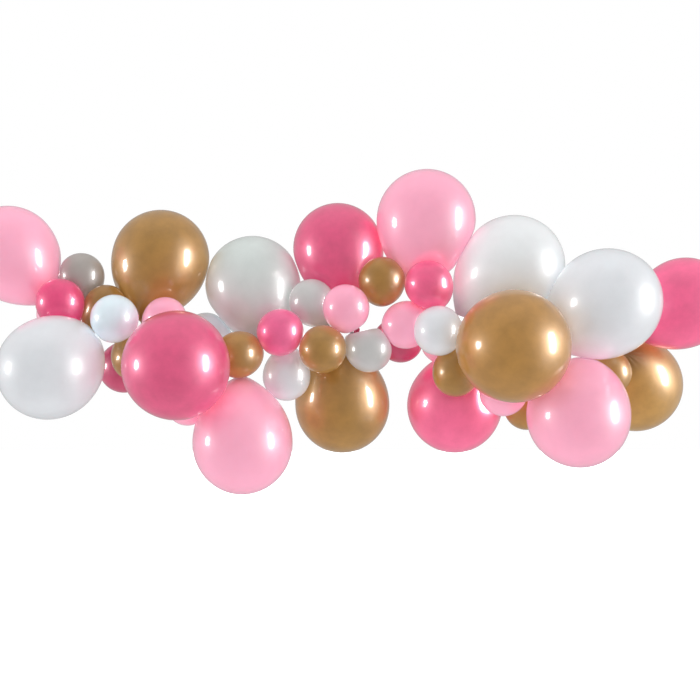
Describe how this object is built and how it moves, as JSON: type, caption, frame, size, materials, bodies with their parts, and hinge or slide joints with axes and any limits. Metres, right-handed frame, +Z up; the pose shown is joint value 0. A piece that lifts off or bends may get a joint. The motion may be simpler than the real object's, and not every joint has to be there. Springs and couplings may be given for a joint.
{
  "type": "balloon garland",
  "caption": "Horizontal garland of large and small round latex balloons in pink, magenta, gold, white and grey, tied along a clear strip that hangs on a wall.",
  "frame": {"origin": "middle mount, on the flat back face of the garland strip", "axes": "+X along the garland to the viewer's right, +Y towards the wall, out of the strip's back, +Z up; the front faces -Y"},
  "size_m": [1.9284, 0.6323, 0.7949],
  "materials": {
    "pink_latex": "glossy light pink latex, slightly see-through",
    "magenta_latex": "glossy pearl magenta latex",
    "gold_latex": "glossy metallic gold latex",
    "white_latex": "glossy white latex, slightly see-through",
    "grey_latex": "glossy light grey latex",
    "clear_strip": "clear, flexible plastic ribbon with punched holes",
    "glue": "clear, soft adhesive"
  },
  "bodies": {
    "root": {"garland_strip": "clear_strip", "glue_dot_1": "glue", "glue_dot_2": "glue", "glue_dot_3": "glue", "glue_dot_4": "glue", "glue_dot_5": "glue", "glue_dot_6": "glue", "glue_dot_7": "glue", "glue_dot_8": "glue", "glue_dot_9": "glue", "large_gold_balloon_1": "gold_latex", "large_gold_balloon_2": "gold_latex", "large_gold_balloon_3": "gold_latex", "large_gold_balloon_4": "gold_latex", "large_grey_balloon": "grey_latex", "large_magenta_balloon_1": "magenta_latex", "large_magenta_balloon_2": "magenta_latex", "large_magenta_balloon_3": "magenta_latex", "large_magenta_balloon_4": "magenta_latex", "large_pink_balloon_1": "pink_latex", "large_pink_balloon_2": "pink_latex", "large_pink_balloon_3": "pink_latex", "large_pink_balloon_4": "pink_latex", "large_white_balloon_1": "white_latex", "large_white_balloon_2": "white_latex", "large_white_balloon_3": "white_latex", "small_gold_balloon_1": "gold_latex", "small_gold_balloon_2": "gold_latex", "small_gold_balloon_3": "gold_latex", "small_gold_balloon_4": "gold_latex", "small_gold_balloon_5": "gold_latex", "small_gold_balloon_6": "gold_latex", "small_gold_balloon_7": "gold_latex", "small_gold_balloon_8": "gold_latex", "small_grey_balloon_1": "grey_latex", "small_grey_balloon_2": "grey_latex", "small_grey_balloon_3": "grey_latex", "small_grey_balloon_4": "grey_latex", "small_magenta_balloon_1": "magenta_latex", "small_magenta_balloon_2": "magenta_latex", "small_magenta_balloon_3": "magenta_latex", "small_magenta_balloon_4": "magenta_latex", "small_magenta_balloon_5": "magenta_latex", "small_pink_balloon_1": "pink_latex", "small_pink_balloon_2": "pink_latex", "small_pink_balloon_3": "pink_latex", "small_pink_balloon_4": "pink_latex", "small_pink_balloon_5": "pink_latex", "small_pink_balloon_6": "pink_latex", "small_pink_balloon_7": "pink_latex", "small_white_balloon_1": "white_latex", "small_white_balloon_2": "white_latex", "small_white_balloon_3": "white_latex"}
  },
  "joints": []
}
